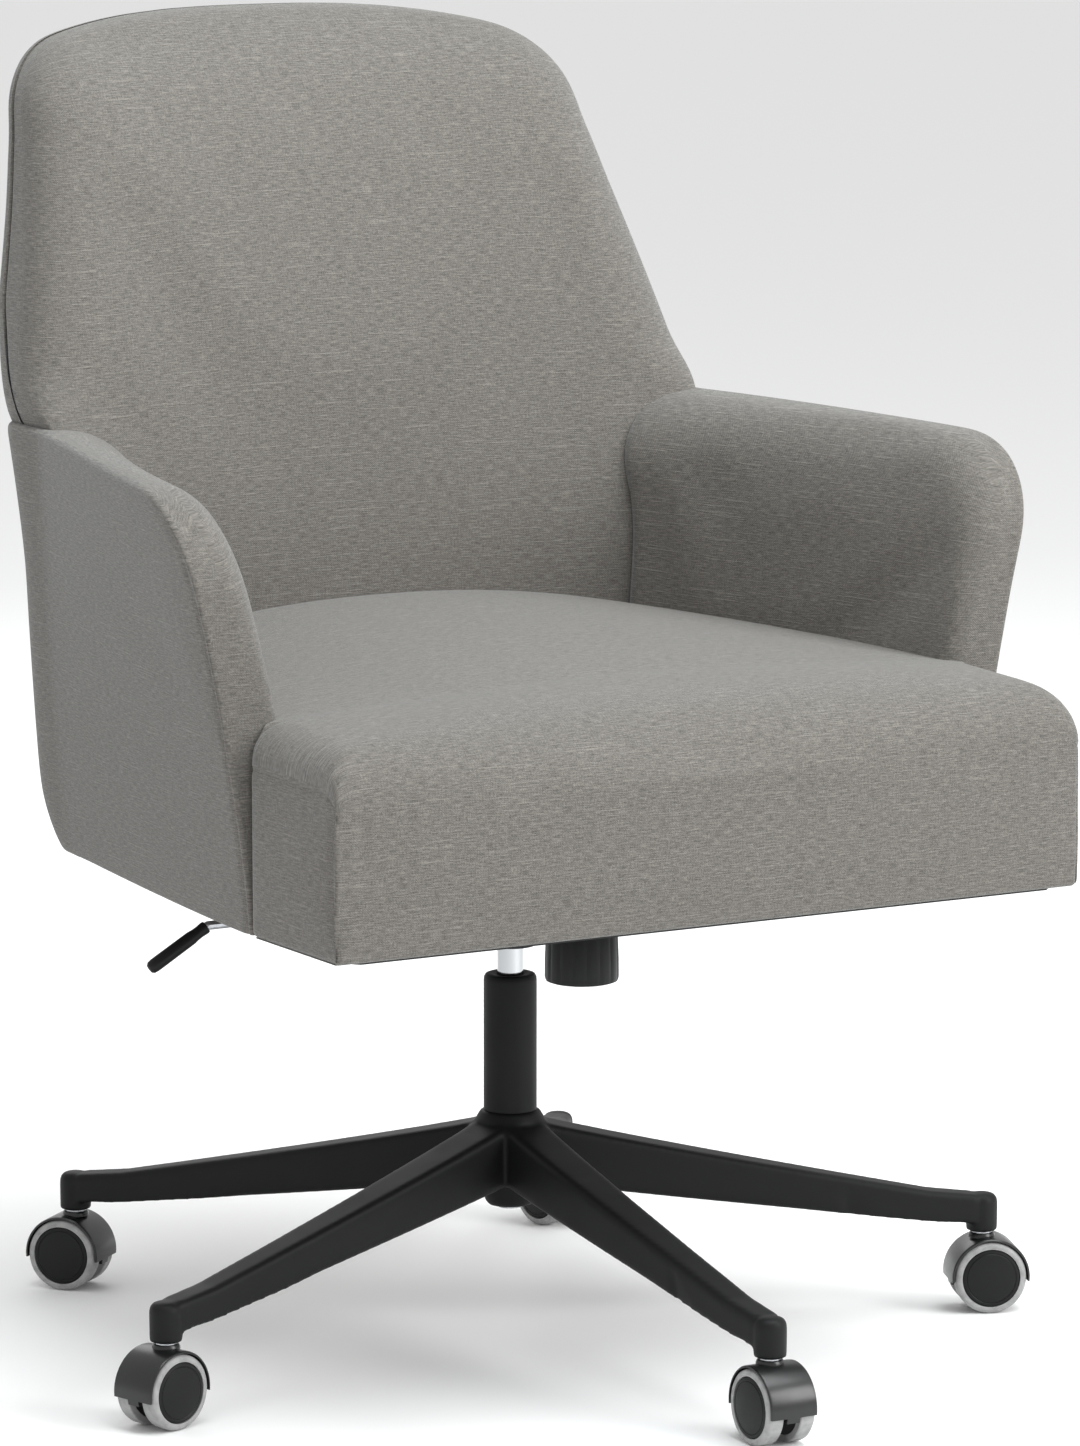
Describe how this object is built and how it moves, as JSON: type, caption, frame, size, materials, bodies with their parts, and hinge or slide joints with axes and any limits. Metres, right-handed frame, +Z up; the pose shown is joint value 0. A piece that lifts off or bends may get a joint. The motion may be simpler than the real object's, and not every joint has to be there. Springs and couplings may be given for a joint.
{
  "type": "swivel office chair",
  "caption": "Upholstered tub office chair with splayed arms on a gas lift, tilt mechanism, five-arm base and twin-wheel casters.",
  "frame": {"origin": "on the floor, under the column and the middle of the chair", "axes": "+Z up, the sitter faces -Y, +X is on the sitter's left"},
  "size_m": [0.7394, 0.7616, 0.931],
  "materials": {
    "fabric": "warm grey linen-look weave with horizontal slubs",
    "black_casting": "satin black powder coat on die-cast aluminium",
    "black_metal": "satin black powder coat",
    "black_plastic": "satin moulded black plastic",
    "grey_tread": "light grey soft polyurethane tread",
    "chrome": "polished chrome",
    "steel": "zinc-plated steel",
    "plywood": "unfinished birch plywood",
    "lining": "black non-woven lining",
    "bushing": "black acetal"
  },
  "bodies": {
    "base": {"base_star": "black_casting", "column_tube": "black_metal", "guide_bush": "bushing", "thrust_bearing": "steel", "piston_rod": "steel", "retaining_clip": "steel"},
    "caster_1": {"caster_1_stem": "steel", "caster_1_hood": "black_plastic", "caster_1_axle": "steel"},
    "caster_1_wheel_left": {"caster_1_wheel_left": "black_plastic", "caster_1_tread_left": "grey_tread"},
    "caster_1_wheel_right": {"caster_1_wheel_right": "black_plastic", "caster_1_tread_right": "grey_tread"},
    "caster_2": {"caster_2_stem": "steel", "caster_2_hood": "black_plastic", "caster_2_axle": "steel"},
    "caster_2_wheel_left": {"caster_2_wheel_left": "black_plastic", "caster_2_tread_left": "grey_tread"},
    "caster_2_wheel_right": {"caster_2_wheel_right": "black_plastic", "caster_2_tread_right": "grey_tread"},
    "caster_3": {"caster_3_stem": "steel", "caster_3_hood": "black_plastic", "caster_3_axle": "steel"},
    "caster_3_wheel_left": {"caster_3_wheel_left": "black_plastic", "caster_3_tread_left": "grey_tread"},
    "caster_3_wheel_right": {"caster_3_wheel_right": "black_plastic", "caster_3_tread_right": "grey_tread"},
    "caster_4": {"caster_4_stem": "steel", "caster_4_hood": "black_plastic", "caster_4_axle": "steel"},
    "caster_4_wheel_left": {"caster_4_wheel_left": "black_plastic", "caster_4_tread_left": "grey_tread"},
    "caster_4_wheel_right": {"caster_4_wheel_right": "black_plastic", "caster_4_tread_right": "grey_tread"},
    "caster_5": {"caster_5_stem": "steel", "caster_5_hood": "black_plastic", "caster_5_axle": "steel"},
    "caster_5_wheel_left": {"caster_5_wheel_left": "black_plastic", "caster_5_tread_left": "grey_tread"},
    "caster_5_wheel_right": {"caster_5_wheel_right": "black_plastic", "caster_5_tread_right": "grey_tread"},
    "lift": {"gas_cylinder": "chrome"},
    "release_button": {"release_button": "steel"},
    "mechanism": {"tilt_bracket": "black_metal", "tilt_pin": "steel", "tension_spring": "steel", "tension_bolt": "steel", "lever_pin": "steel"},
    "tension_knob": {"tension_knob": "black_plastic"},
    "release_lever": {"release_lever_rod": "steel", "release_lever_grip": "black_plastic"},
    "seat": {"seat_plate": "black_metal", "seat_board": "plywood", "dust_cover": "lining", "seat_cushion": "fabric", "shell_frame": "plywood", "back_pad": "fabric", "outside_back": "fabric", "arm_pad_left": "fabric", "arm_pad_right": "fabric"}
  },
  "joints": [
    {"name": "caster_1_swivel", "type": "hinge", "parent": "base", "child": "caster_1", "pos_m": [0, -0.35, 0.0585], "axis": [0, 0, 1], "continuous": true},
    {"name": "caster_1_left_roll", "type": "hinge", "parent": "caster_1", "child": "caster_1_wheel_left", "pos_m": [-0.00007, -0.354, 0.0263], "axis": [0.9998, -0.0174, 0], "continuous": true},
    {"name": "caster_1_right_roll", "type": "hinge", "parent": "caster_1", "child": "caster_1_wheel_right", "pos_m": [-0.00007, -0.354, 0.0263], "axis": [0.9998, -0.0174, 0], "continuous": true},
    {"name": "caster_2_swivel", "type": "hinge", "parent": "base", "child": "caster_2", "pos_m": [0.33287, -0.10816, 0.0585], "axis": [0, 0, 1], "continuous": true},
    {"name": "caster_2_left_roll", "type": "hinge", "parent": "caster_2", "child": "caster_2_wheel_left", "pos_m": [0.33658, -0.10965, 0.0263], "axis": [0.3746, 0.9272, 0], "continuous": true},
    {"name": "caster_2_right_roll", "type": "hinge", "parent": "caster_2", "child": "caster_2_wheel_right", "pos_m": [0.33658, -0.10965, 0.0263], "axis": [0.3746, 0.9272, 0], "continuous": true},
    {"name": "caster_3_swivel", "type": "hinge", "parent": "base", "child": "caster_3", "pos_m": [0.20572, 0.28316, 0.0585], "axis": [0, 0, 1], "continuous": true},
    {"name": "caster_3_left_roll", "type": "hinge", "parent": "caster_3", "child": "caster_3_wheel_left", "pos_m": [0.20503, 0.2871, 0.0263], "axis": [-0.9848, -0.1736, 0], "continuous": true},
    {"name": "caster_3_right_roll", "type": "hinge", "parent": "caster_3", "child": "caster_3_wheel_right", "pos_m": [0.20503, 0.2871, 0.0263], "axis": [-0.9848, -0.1736, 0], "continuous": true},
    {"name": "caster_4_swivel", "type": "hinge", "parent": "base", "child": "caster_4", "pos_m": [-0.20572, 0.28316, 0.0585], "axis": [0, 0, 1], "continuous": true},
    {"name": "caster_4_left_roll", "type": "hinge", "parent": "caster_4", "child": "caster_4_wheel_left", "pos_m": [-0.20824, 0.28626, 0.0263], "axis": [-0.7771, -0.6293, 0], "continuous": true},
    {"name": "caster_4_right_roll", "type": "hinge", "parent": "caster_4", "child": "caster_4_wheel_right", "pos_m": [-0.20824, 0.28626, 0.0263], "axis": [-0.7771, -0.6293, 0], "continuous": true},
    {"name": "caster_5_swivel", "type": "hinge", "parent": "base", "child": "caster_5", "pos_m": [-0.33287, -0.10816, 0.0585], "axis": [0, 0, 1], "continuous": true},
    {"name": "caster_5_left_roll", "type": "hinge", "parent": "caster_5", "child": "caster_5_wheel_left", "pos_m": [-0.33669, -0.10933, 0.0263], "axis": [0.2924, -0.9563, 0], "continuous": true},
    {"name": "caster_5_right_roll", "type": "hinge", "parent": "caster_5", "child": "caster_5_wheel_right", "pos_m": [-0.33669, -0.10933, 0.0263], "axis": [0.2924, -0.9563, 0], "continuous": true},
    {"name": "gas_lift", "type": "slide", "parent": "base", "child": "lift", "axis": [0, 0, 1], "range_m": [-0.012, 0.088]},
    {"name": "seat_swivel", "type": "hinge", "parent": "lift", "child": "mechanism", "pos_m": [0, 0, 0.3], "axis": [0, 0, 1], "continuous": true},
    {"name": "seat_tilt", "type": "hinge", "parent": "mechanism", "child": "seat", "pos_m": [0, -0.045, 0.32], "axis": [-1, 0, 0], "range_deg": [0, 10], "stiffness_Nm_per_rad": 200, "springref_deg": -20.05},
    {"name": "tension_adjust", "type": "hinge", "parent": "mechanism", "child": "tension_knob", "pos_m": [0, -0.1, 0.28], "axis": [0, 0, 1], "range_deg": [-360, 360]},
    {"name": "lever_lift", "type": "hinge", "parent": "mechanism", "child": "release_lever", "pos_m": [-0.034, 0.00967, 0.3193], "axis": [0, 1, 0], "range_deg": [0, 3.5], "stiffness_Nm_per_rad": 3, "springref_deg": -6.88},
    {"name": "button_press", "type": "slide", "parent": "lift", "child": "release_button", "axis": [0, 0, -1], "range_m": [0, 0.0023]}
  ],
  "couplings": [
    {"joint": "button_press", "follows": "lever_lift", "m_per_rad": 0.034}
  ]
}
